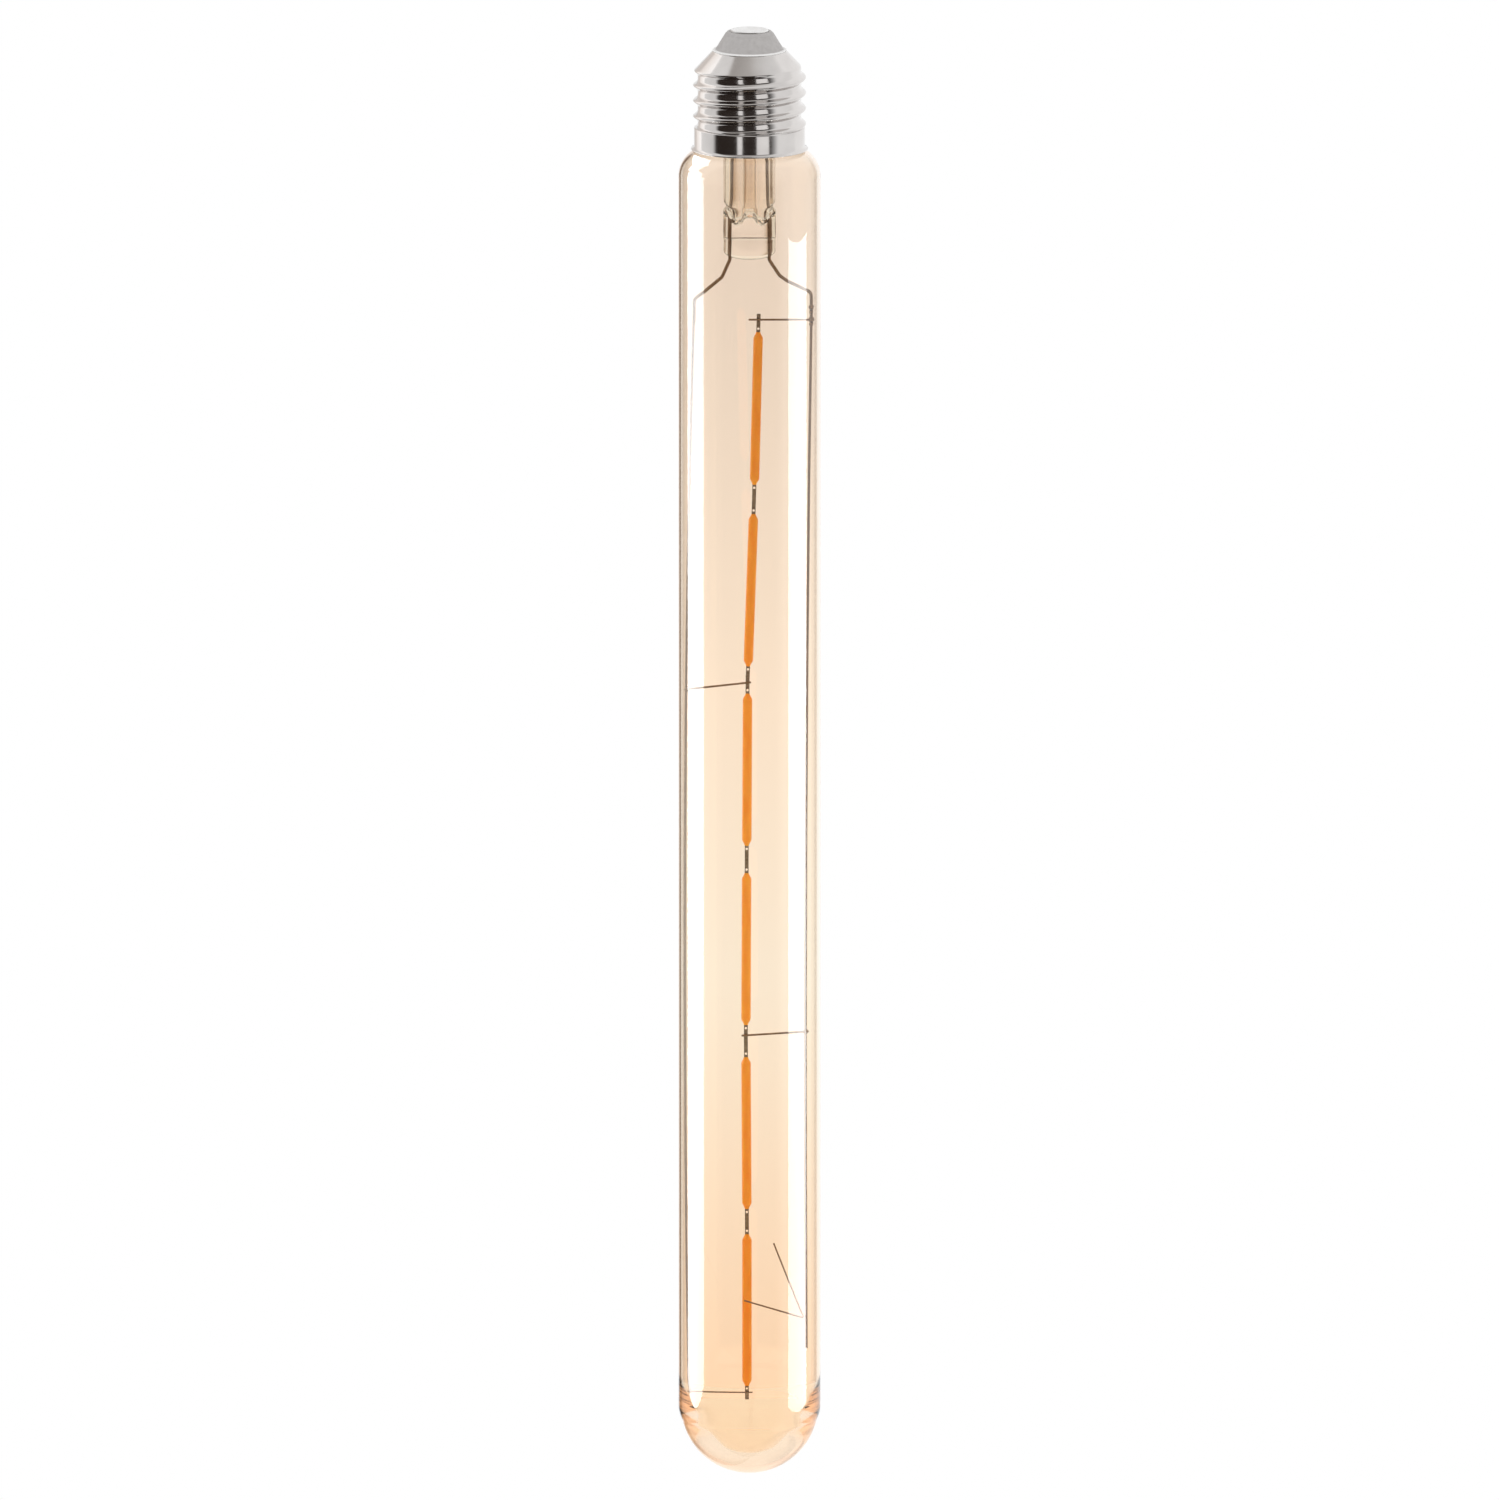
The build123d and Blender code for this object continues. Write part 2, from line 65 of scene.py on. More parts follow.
def arc(centreX, centreZ, radius, start, end, count):  # angles in degrees
    points = []
    for step in range(count + 1):
        turn = math.radians(start + (end - start) * step / count)
        points.append((centreX + radius * math.cos(turn), centreZ + radius * math.sin(turn)))
    return points


def spinProfile(points, steps, closed=True):  # (radius, height) points turned once round Z
    bm = bmesh.new()
    row = [bm.verts.new((radius, 0, height)) for radius, height in points]
    edges = [bm.edges.new(pair) for pair in zip(row, row[1:])]
    if closed:
        edges.append(bm.edges.new((row[-1], row[0])))
    bmesh.ops.spin(bm, geom=row + edges, axis=(0, 0, 1), cent=(0, 0, 0), angle=2 * math.pi, steps=steps,
                   use_merge=True)
    return bm


def closeUp(bm):  # merge the poles and turn the faces outwards
    bmesh.ops.remove_doubles(bm, verts=bm.verts, dist=mergeGap)
    bmesh.ops.recalc_face_normals(bm, faces=bm.faces)


def addPiece(bm, name, material, slot, *nodes):
    mesh = bpy.data.meshes.new(name)
    bm.to_mesh(mesh)
    bm.free()
    mesh.shade_smooth()
    mesh.materials.append(material)
    piece = bpy.data.objects.new(name, mesh)
    bpy.context.scene.collection.objects.link(piece)
    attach(piece, "root")
    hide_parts(*nodes)
    return piece


def dressNode(name, material):  # a CAD node keeps its shape and gets a finish
    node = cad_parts[name]
    node.data.materials.clear()
    node.data.materials.append(material)


# small helpers for materials

def newMaterial(name, settings):
    material = bpy.data.materials.new(name)
    material.use_nodes = True
    shader = material.node_tree.nodes["Principled BSDF"]
    for socket, value in settings.items():
        shader.inputs[socket].default_value = value
    return material, material.node_tree, shader


def noiseOn(tree, scale, stretch=(1, 1, 1), detail=3.0):  # noise in the piece's own metres
    place = tree.nodes.new("ShaderNodeTexCoord")
    mapping = tree.nodes.new("ShaderNodeMapping")
    mapping.inputs["Scale"].default_value = stretch
    noise = tree.nodes.new("ShaderNodeTexNoise")
    noise.inputs["Scale"].default_value = scale
    noise.inputs["Detail"].default_value = detail
    tree.links.new(place.outputs["Object"], mapping.inputs["Vector"])
    tree.links.new(mapping.outputs["Vector"], noise.inputs["Vector"])
    return noise.outputs["Fac"]


def rampOn(tree, fac, stops):  # stops are (position, colour)
    ramp = tree.nodes.new("ShaderNodeValToRGB")
    elements = ramp.color_ramp.elements
    while len(elements) < len(stops):
        elements.new(1.0)
    for element, (position, colour) in zip(elements, stops):
        element.position = position
        element.color = (*colour, 1.0)
    tree.links.new(fac, ramp.inputs["Fac"])
    return ramp.outputs["Color"]


def rangeOn(tree, value, low, high, fromLow=0.0, fromHigh=1.0):  # one range spread over another
    spread = tree.nodes.new("ShaderNodeMapRange")
    spread.inputs["From Min"].default_value = fromLow
    spread.inputs["From Max"].default_value = fromHigh
    spread.inputs["To Min"].default_value = low
    spread.inputs["To Max"].default_value = high
    tree.links.new(value, spread.inputs["Value"])
    return spread.outputs["Result"]


def axesOn(tree, kind):  # x, y and z of the place on a piece, or of a direction in the world
    place = tree.nodes.new("ShaderNodeTexCoord")
    axes = tree.nodes.new("ShaderNodeSeparateXYZ")
    tree.links.new(place.outputs[kind], axes.inputs["Vector"])
    return axes.outputs


def heightOn(tree, box):  # 0 at the foot of the box, 1 at its top
    return rangeOn(tree, axesOn(tree, "Object")["Z"], 0.0, 1.0, box[0].z, box[1].z)


def mathOn(tree, operation, *values):  # values are numbers or sockets
    node = tree.nodes.new("ShaderNodeMath")
    node.operation = operation
    for socket, value in zip(node.inputs, values):
        if isinstance(value, (int, float)):
            socket.default_value = value
        else:
            tree.links.new(value, socket)
    return node.outputs["Value"]


def mixOn(tree, factor, first, second):  # colours are sockets or plain levels
    node = tree.nodes.new("ShaderNodeMix")
    node.data_type = "RGBA"
    tree.links.new(factor, node.inputs["Factor"])
    for key, value in (("A", first), ("B", second)):
        if isinstance(value, float):
            node.inputs[key].default_value = (value, value, value, 1.0)
        else:
            tree.links.new(value, node.inputs[key])
    return node.outputs["Result"]


def bumpOn(tree, shader, height, strength, distance):
    bump = tree.nodes.new("ShaderNodeBump")
    bump.inputs["Strength"].default_value = strength
    bump.inputs["Distance"].default_value = distance
    tree.links.new(height, bump.inputs["Height"])
    tree.links.new(bump.outputs["Normal"], shader.inputs["Normal"])


# materials

def amberGlassMaterial():
    material, tree, shader = newMaterial("amberGlass", {
        "Roughness": 0.0,
        "IOR": 1.44,
        "Transmission Weight": 1.0,
    })
    height = heightOn(tree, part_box("glass_envelope"))
    tint = rampOn(tree, height, [(0.06, (1.0, 0.87, 0.71)), (0.36, (1.0, 0.965, 0.86)),
                                 (0.56, (1.0, 0.94, 0.83)), (0.88, (0.912, 0.86, 0.775))])
    tree.links.new(tint, shader.inputs["Base Color"])
    wave = noiseOn(tree, 30.0, (1, 1, 0.25), 1.0)
    bumpOn(tree, shader, wave, 0.01, 0.1 * mm)
    depth = tree.nodes.new("ShaderNodeVolumeAbsorption")
    depth.inputs["Color"].default_value = (0.95, 0.65, 0.35, 1.0)
    depth.inputs["Density"].default_value = 30.0
    tree.links.new(depth.outputs["Volume"], tree.nodes["Material Output"].inputs["Volume"])
    return material


def clearGlassMaterial():
    material, tree, shader = newMaterial("clearGlass", {
        "Roughness": 0.0,
        "IOR": 1.52,
        "Transmission Weight": 1.0,
    })
    height = heightOn(tree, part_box("stem"))
    tint = rampOn(tree, height, [(0.20, (0.985, 0.96, 0.94)), (0.34, (0.985, 0.945, 0.90))])
    tree.links.new(tint, shader.inputs["Base Color"])
    wave = noiseOn(tree, 260.0, (1, 1, 0.6), 2.0)
    bumpOn(tree, shader, wave, 0.12, 0.2 * mm)
    return material


def filamentMaterial():
    material, tree, shader = newMaterial("filamentCoat", {
        "Roughness": 0.38,
        "Subsurface Weight": 0.6,
        "Subsurface Scale": 0.7 * mm,
        "Subsurface Radius": (1.0, 0.55, 0.18),
        "Specular IOR Level": 0.4,
        "Emission Color": (1.0, 0.40, 0.05, 1.0),
        "Emission Strength": 0.12,      # painted glow: a faint emission brightens the unlit coat as painted light
    })
    cloud = noiseOn(tree, 900.0, (1, 1, 0.2), 4.0)
    colour = rampOn(tree, cloud, [(0.30, (0.90, 0.30, 0.030)), (0.70, (0.96, 0.38, 0.045))])
    tree.links.new(colour, shader.inputs["Base Color"])
    lump = noiseOn(tree, 1400.0, (1, 1, 0.35), 3.0)
    bumpOn(tree, shader, lump, 0.25, 0.05 * mm)
    return material


def wireMaterial():
    material, tree, shader = newMaterial("nickelWire", {
        "Metallic": 1.0,
        "Anisotropic": 0.3,
    })
    drawn = noiseOn(tree, 2500.0, (1, 1, 0.05), 3.0)
    colour = rampOn(tree, drawn, [(0.3, (0.19, 0.125, 0.085)), (0.7, (0.30, 0.205, 0.145))])
    tree.links.new(colour, shader.inputs["Base Color"])
    tree.links.new(rangeOn(tree, drawn, 0.28, 0.46), shader.inputs["Roughness"])
    bumpOn(tree, shader, drawn, 0.2, 0.02 * mm)
    return material


def pinMaterial():
    material, tree, shader = newMaterial("pinMetal", {"Metallic": 1.0})
    rolled = noiseOn(tree, 3000.0, (0.3, 1, 1), 4.0)
    colour = rampOn(tree, rolled, [(0.3, (0.22, 0.17, 0.13)), (0.7, (0.36, 0.29, 0.23))])
    tree.links.new(colour, shader.inputs["Base Color"])
    tree.links.new(rangeOn(tree, rolled, 0.30, 0.48), shader.inputs["Roughness"])
    bumpOn(tree, shader, rolled, 0.2, 0.01 * mm)
    return material


def capMaterial():
    material, tree, shader = newMaterial("platedCap", {
        "Metallic": 1.0,
        "Anisotropic": 0.35,
    })
    turned = noiseOn(tree, 1.0, (120, 120, 5200), 4.0)
    patch = noiseOn(tree, 220.0, (1, 1, 1), 4.0)
    colour = rampOn(tree, patch, [(0.3, (0.60, 0.575, 0.56)), (0.7, (0.66, 0.635, 0.62))])
    tree.links.new(colour, shader.inputs["Base Color"])
    tree.links.new(rangeOn(tree, turned, 0.07, 0.16), shader.inputs["Roughness"])
    bumpOn(tree, shader, turned, 0.12, 0.02 * mm)
    return material


def contactMaterial():
    material, tree, shader = newMaterial("contactDisc", {"Metallic": 1.0})
    scuff = noiseOn(tree, 700.0, (1, 0.2, 1), 5.0)
    colour = rampOn(tree, scuff, [(0.3, (0.76, 0.75, 0.74)), (0.7, (0.86, 0.855, 0.85))])
    tree.links.new(colour, shader.inputs["Base Color"])
    tree.links.new(rangeOn(tree, scuff, 0.30, 0.50), shader.inputs["Roughness"])
    bumpOn(tree, shader, scuff, 0.2, 0.03 * mm)
    return material


def insulatorMaterial():
    material, tree, shader = newMaterial("paleInsulator", {"Specular IOR Level": 0.3})
    grain = noiseOn(tree, 1100.0, (1, 1, 1), 5.0)
    colour = rampOn(tree, grain, [(0.3, (0.46, 0.44, 0.43)), (0.7, (0.52, 0.50, 0.49))])
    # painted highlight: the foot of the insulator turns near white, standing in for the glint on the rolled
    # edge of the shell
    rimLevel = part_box("cap_shell")[1].z
    level = axesOn(tree, "Object")["Z"]
    rim = rangeOn(tree, level, 1.0, 0.0, rimLevel, rimLevel + 0.1 * mm)  # mask of the painted highlight band at the foot
    pale = rampOn(tree, grain, [(0.3, (0.90, 0.89, 0.88)), (0.7, (0.97, 0.96, 0.95))])
    tree.links.new(mixOn(tree, rim, colour, pale), shader.inputs["Base Color"])
    tree.links.new(rangeOn(tree, grain, 0.50, 0.66), shader.inputs["Roughness"])
    bumpOn(tree, shader, grain, 0.2, 0.03 * mm)
    return material


def mouldedMaterial(name, dark, light, scale):  # matte pieces out of sight in the cap
    material, tree, shader = newMaterial(name, {})
    grain = noiseOn(tree, scale, (1, 1, 1), 5.0)
    tree.links.new(rampOn(tree, grain, [(0.3, dark), (0.7, light)]), shader.inputs["Base Color"])
    tree.links.new(rangeOn(tree, grain, 0.45, 0.75), shader.inputs["Roughness"])
    bumpOn(tree, shader, grain, 0.3, 0.05 * mm)
    return material


amberGlass = amberGlassMaterial()
clearGlass = clearGlassMaterial()
filamentCoat = filamentMaterial()
nickelWire = wireMaterial()
pinMetal = pinMaterial()
platedCap = capMaterial()
contactDisc = contactMaterial()
paleInsulator = insulatorMaterial()
print("materials ready")


# glass envelope: one closed wall from the rim of the neck to the thick bottom of the dome

glassValues = {
    "wall": 0.8 * mm,
    "neckRadius": 11.2 * mm,
    "shoulderRim": 13.0 * mm,
    "shoulderDrop": 0.35 * mm,      # below the lip of the cap
    "shoulderLean": 60.0,
    "domeInset": 0.5 * mm,
    "stepDrop": 3.4 * mm,
    "stepBlend": 2.0,               # degrees left out on both sides of the step
    "bottom": 4.0 * mm,
    "sideExcess": 6.3 * mm,         # inside of the dome: flatter sides and a tighter bottom than the bore
    "capInset": 2.2 * mm,
    "support": 0.4 * mm,
    "steps": 256,
}


def glassEnvelope(values):
    low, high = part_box("glass_envelope")
    tube = high.x
    rim = high.z
    tip = low.z
    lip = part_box("cap_shell")[0].z
    lean = math.radians(values["shoulderLean"])
    wall = values["wall"]
    bore = tube - wall
    shoulder = lip - values["shoulderDrop"]
    shoulderRound = (tube - values["shoulderRim"]) / (1 - math.cos(lean))
    shoulderFoot = shoulder - shoulderRound * math.sin(lean)
    neckEnd = shoulder + (values["shoulderRim"] - values["neckRadius"]) / math.tan(lean)
    domeRadius = tube - values["domeInset"]
    domeLevel = tip + domeRadius
    stepRadius = math.sqrt(domeRadius**2 - values["stepDrop"]**2)
    inset = tube - stepRadius
    turnIn = (inset**2 + values["stepDrop"]**2) / (2 * inset)
    turnEnd = math.degrees(math.asin(values["stepDrop"] / turnIn))
    domeStart = math.degrees(math.asin(values["stepDrop"] / domeRadius))

    outside = [(values["neckRadius"], rim), (values["neckRadius"], neckEnd)]
    outside += arc(tube - shoulderRound, shoulderFoot, shoulderRound, values["shoulderLean"], 0, 24)
    outside += [(tube, shoulderFoot - values["support"]), (tube, domeLevel + values["support"])]
    outside += arc(tube - turnIn, domeLevel, turnIn, 0, values["stepBlend"] - turnEnd, 16)
    outside += arc(0, domeLevel, domeRadius, -domeStart - values["stepBlend"], -90, 60)

    side = bore + values["sideExcess"]
    cap = bore - values["capInset"]
    capRise = math.sqrt((side - cap)**2 - values["sideExcess"]**2)
    capTurn = math.degrees(math.atan2(values["sideExcess"], capRise)) - 90
    capLevel = tip + values["bottom"] + cap
    innerLevel = capLevel + capRise
    innerRound = shoulderRound - wall
    innerTop = tube - shoulderRound + innerRound * math.cos(lean)
    innerEnd = shoulderFoot + innerRound * math.sin(lean)
    neckBore = values["neckRadius"] - wall
    inside = arc(0, capLevel, cap, -90, capTurn, 40)
    inside += arc(bore - side, innerLevel, side, capTurn, 0, 60)[1:]
    inside += [(bore, innerLevel + values["support"]), (bore, shoulderFoot - values["support"])]
    inside += arc(tube - shoulderRound, shoulderFoot, innerRound, 0, values["shoulderLean"], 24)
    inside += [(neckBore, innerEnd + (innerTop - neckBore) / math.tan(lean)), (neckBore, rim)]

    bm = spinProfile(outside, values["steps"], closed=False)
    inner = spinProfile(inside, values["steps"], closed=False)
    innerMesh = bpy.data.meshes.new("innerWall")
    inner.to_mesh(innerMesh)
    inner.free()
    bm.from_mesh(innerMesh)
    bpy.data.meshes.remove(innerMesh)
    bmesh.ops.remove_doubles(bm, verts=bm.verts, dist=mergeGap)
    rims = [edge for edge in bm.edges if edge.is_boundary]
    bmesh.ops.bridge_loops(bm, edges=rims)
    closeUp(bm)
    return addPiece(bm, "glassEnvelope", amberGlass, "amber_glass", "glass_envelope")


glassEnvelope(glassValues)
print("glass envelope ready")


# stem: trumpet flare, tube and a pinched press, with a hollow that closes in the press

stemValues = {
    "radius": 6.0 * mm,
    "wall": 1.2 * mm,
    "flareHeight": 6.0 * mm,
    "flareGap": 0.05 * mm,
    "pressTop": 12.6 * mm,          # below the lip of the cap, as are the next levels
    "slabTop": 16.4 * mm,
    "stepLevel": 20.9 * mm,
    "wingEnd": 24.4 * mm,
    "lobeDrop": 1.5 * mm,
    "lobeRound": 0.5 * mm,
    "lobeSquareness": 0.75,
    "flareEdge": 0.3 * mm,
    "tubeRow": 12.0 * mm,           # a plain row of the tube, below the rim of the flare
    "squeezeLead": 1.5 * mm,        # last round row, above the press top
    "squeezeStart": 0.6 * mm,       # above the press top
    "squeeze": 0.35,                # squareness that the squeeze takes away
    "pinch": 0.6 * mm,
    "pinchShare": 0.55,             # part of the squeeze that the pinch lasts
    "slabThick": 4.4 * mm,
    "slabExcess": 0.1 * mm,         # the slab is this much wider than the tube on each side
    "wingThick": 3.4 * mm,
    "stepBevel": 0.1 * mm,
    "squareness": 0.62,
    # depth of the hollow below the press top, by place across, both in mm
    "hollow": [(0.0, 3.2), (0.7, 3.3), (1.9, 5.0), (3.0, 5.3), (4.5, 4.3)],
    "hollowLead": 1.0 * mm,
    "hollowInset": 0.3 * mm,
    "hollowHalf": 0.9 * mm,
    "steps": 128,
}


def hollowDepth(values, across):    # eased between the given places
    places = values["hollow"]
    across = min(abs(across) / mm, places[-1][0])
    for (start, first), (end, second) in zip(places, places[1:]):
        if across <= end:
            share = (across - start) / (end - start)
            return (first + (second - first) * share * share * (3 - 2 * share)) * mm


def pressRing(bm, level, halfX, halfY, squareness, steps):  # a ring between a circle and a slab
    ring = bmesh.ops.create_circle(bm, segments=steps, radius=1.0)["verts"]
    for vert in ring:
        turn = math.atan2(vert.co.y, vert.co.x)
        across = math.copysign(abs(math.cos(turn)) ** squareness, math.cos(turn))
        along = math.copysign(abs(math.sin(turn)) ** squareness, math.sin(turn))
        vert.co = (halfX * across, halfY * along, level)
    return ring


def ringSkin(bm, rings):  # bridge each ring to the next one
    for upper, lower in zip(rings, rings[1:]):
        edges = {edge for vert in upper + lower for edge in vert.link_edges}
        loops = [edge for edge in edges if all(vert in upper for vert in edge.verts)
                 or all(vert in lower for vert in edge.verts)]
        bmesh.ops.bridge_loops(bm, edges=loops)


def stemGlass(values):
    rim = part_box("stem")[1].z
    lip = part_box("cap_shell")[0].z
    steps = values["steps"]
    radius = values["radius"]
    bore = radius - values["wall"]
    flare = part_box("stem")[1].x - values["flareGap"]
    flareRound = values["flareHeight"]
    wide = flare - radius
    levels = {key: lip - values[key] for key in ("pressTop", "slabTop", "stepLevel", "wingEnd")}
    slab = values["slabThick"] / 2
    wing = values["wingThick"] / 2
    excess = values["slabExcess"]
    bevel = values["stepBevel"]
    square = values["squareness"]
    bm = bmesh.new()

    outside = []                    # level, half width, half depth, squareness
    for step in range(9):
        turn = math.radians(90 * step / 8)
        level = rim - values["wall"] - flareRound * (1 - math.cos(turn))
        flareRadius = radius + wide * (1 - math.sin(turn))
        outside.append((level, flareRadius, flareRadius, 1.0))
    for level in (rim - values["tubeRow"], levels["pressTop"] + values["squeezeLead"]):
        outside.append((level, radius, radius, 1.0))
    squeezeTop = levels["pressTop"] + values["squeezeStart"]
    for step in range(1, 17):       # the tube is squeezed to a slab, with a pinch at the start
        share = step / 16
        pinch = values["pinch"] * math.sin(math.pi * min(1.0, share / values["pinchShare"])) ** 2
        ease = share * share * (3 - 2 * share)
        level = squeezeTop + (levels["slabTop"] - squeezeTop) * share
        halfX = radius + excess * ease - pinch
        halfY = radius + (slab - radius) * ease
        outside.append((level, halfX, halfY, 1.0 - values["squeeze"] * ease))
    above = [(0.3, excess, slab), (0.08, excess, slab), (0.0, excess / 2, slab - bevel)]
    below = [(-0.06, 0.0, wing + bevel), (-0.14, 0.0, wing), (-0.4, 0.0, wing)]
    for rise, extra, halfY in above + below:  # a sharp step from the slab to the wings, rises in mm
        outside.append((levels["stepLevel"] + rise * mm, radius + extra, halfY, square))
    lobeTop = levels["wingEnd"] + values["lobeRound"]
    outside.append((lobeTop, radius, wing, square))
    for step in range(1, 7):        # the lobe closes the end
        turn = math.radians(90 * step / 6)
        level = lobeTop - (values["lobeDrop"] + values["lobeRound"]) * math.sin(turn)
        halfX = radius * (0.12 + 0.88 * math.cos(turn))
        halfY = wing * (0.15 + 0.85 * math.cos(turn))
        outside.append((level, halfX, halfY, values["lobeSquareness"]))
    outer = [pressRing(bm, *row, steps) for row in outside]

    inside = []
    for step in range(9):
        turn = math.radians(90 * step / 8)
        flareRadius = bore + (wide + values["wall"] - values["flareEdge"]) * (1 - math.sin(turn))
        inside.append((rim - flareRound * (1 - math.cos(turn)), flareRadius, flareRadius, 1.0))
    inside.append((levels["pressTop"] + values["hollowLead"], bore, bore, 1.0))
    inner = [pressRing(bm, *row, steps) for row in inside]
    for step in range(13):          # the hollow narrows to an edge with two lobes beside the exhaust
        share = step / 12
        fade = math.sqrt(1 - share**2)
        halfX = bore - values["hollowInset"] * share
        halfY = bore * fade * (1 - share) + values["hollowHalf"] * fade * share
        ring = pressRing(bm, levels["pressTop"], halfX, halfY, 1.0 - 0.2 * share, steps)
        for vert in ring:
            vert.co.z -= hollowDepth(values, vert.co.x) * share
        inner.append(ring)

    ringSkin(bm, outer)
    ringSkin(bm, inner)
    ringSkin(bm, [outer[0], inner[0]])
    bmesh.ops.holes_fill(bm, edges=[edge for edge in bm.edges if edge.is_boundary], sides=0)
    closeUp(bm)
    return addPiece(bm, "stemGlass", clearGlass, "clear_glass", "stem")


stemGlass(stemValues)

exhaustValues = {"wall": 0.25 * mm, "tipHeight": 2.2 * mm, "footEase": 0.12 * mm, "steps": 64}


def exhaustTube(values):
    low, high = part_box("exhaust_tube")
    radius = high.x
    bore = radius - values["wall"]
    shoulder = high.z - values["tipHeight"]
    outside = [(0, high.z)]
    for step in range(1, 9):        # drawn-out sealed tip
        turn = math.radians(90 * step / 8)
        outside.append((radius * math.sin(turn), shoulder + values["tipHeight"] * math.cos(turn)))
    ease = values["footEase"]
    foot = [(radius, shoulder - ease), (radius, low.z + 2 * ease), (radius, low.z + ease),
            (radius - ease / 2, low.z), (bore + ease / 2, low.z),
            (bore, low.z + ease), (bore, low.z + 2 * ease)]
    inside = [(bore, shoulder - 2 * ease), (bore, shoulder - ease), (bore * 0.8, shoulder + ease),
              (0, shoulder + 2 * ease)]
    bm = spinProfile(outside + foot + inside, values["steps"], closed=False)
    closeUp(bm)
    return addPiece(bm, "exhaustTube", clearGlass, "clear_glass", "exhaust_tube")


exhaustTube(exhaustValues)
print("stem and exhaust ready")


# filament coats: round silicone strips that narrow to the pins

filamentValues = {
    "count": 6,
    "neck": 0.5 * mm,
    "taper": 1.5 * mm,
    "flat": 0.88,                   # depth over width
    "support": 0.3 * mm,
    "endSlice": 0.2 * mm,           # points this near an end give its centre
    "steps": 40,
}


def endCentre(values, node, share):  # centre of the top (1) or bottom (0) end of a CAD node
    low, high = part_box(node)
    level = low.z + (high.z - low.z) * share
    corners = [vert.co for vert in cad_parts[node].data.vertices]
    verts = [corner for corner in corners if abs(corner.z - level) < values["endSlice"]]
    return sum(verts, Vector()) / len(verts)


def filament(values, number):
    node = f"filament_{number}"
    low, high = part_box(node)
    top = endCentre(values, node, 1)
    bottom = endCentre(values, node, 0)
    length = (top - bottom).length
    half = (high.y - low.y) / 2
    profile = [(0, length)]
    for step in range(9):           # soft shoulder from the pin to the full width
        share = step / 8
        ease = share * share * (3 - 2 * share)
        profile.append((values["neck"] + (half - values["neck"]) * ease, length - values["taper"] * share))
    profile.append((half, length - values["taper"] - values["support"]))
    mirrored = [(radius, length - height) for radius, height in reversed(profile)]
    bm = spinProfile(profile + mirrored, values["steps"], closed=False)
    closeUp(bm)
    bmesh.ops.scale(bm, verts=bm.verts, vec=(1, values["flat"], 1))
    lean = Vector((0, 0, 1)).rotation_difference(top - bottom).to_matrix()
    bmesh.ops.rotate(bm, verts=bm.verts, cent=(0, 0, 0), matrix=lean)
    bmesh.ops.translate(bm, verts=bm.verts, vec=bottom)
    return addPiece(bm, f"filamentCoat{number}", filamentCoat, "filament_coat", node)


for number in range(1, filamentValues["count"] + 1):
    filament(filamentValues, number)
print("filaments ready")


# cap shell: rolled sheet with a rounded right-hand thread, skirt and lip

shellValues = {
    "wall": 0.35 * mm,
    "mouth": 7.3 * mm,
    "bead": 8.6 * mm,               # outer radius of the rolled bead
    "beadInner": 8.15 * mm,
    "beadHeight": 0.35 * mm,
    "coneHeight": 3.6 * mm,
    "pitch": 3.629 * mm,
    "root": 12.0 * mm,
    "depth": 1.1 * mm,
    "sharpness": 2.3,               # above 1 the crests get narrower than the valleys
    "threadLength": 13.9 * mm,
    "runIn": 2.7 * mm,
    "skirt": 12.85 * mm,
    "skirtStep": 0.5 * mm,
    "lipHeight": 0.7 * mm,
    "blend": 0.25 * mm,
    "coneBlend": 0.6 * mm,
    "rowHeight": 0.13 * mm,
    "steps": 256,
}


def softMin(first, second, blend):
    mix = max(0.0, min(1.0, 0.5 + 0.5 * (second - first) / blend))
    return second + (first - second) * mix - blend * mix * (1 - mix)


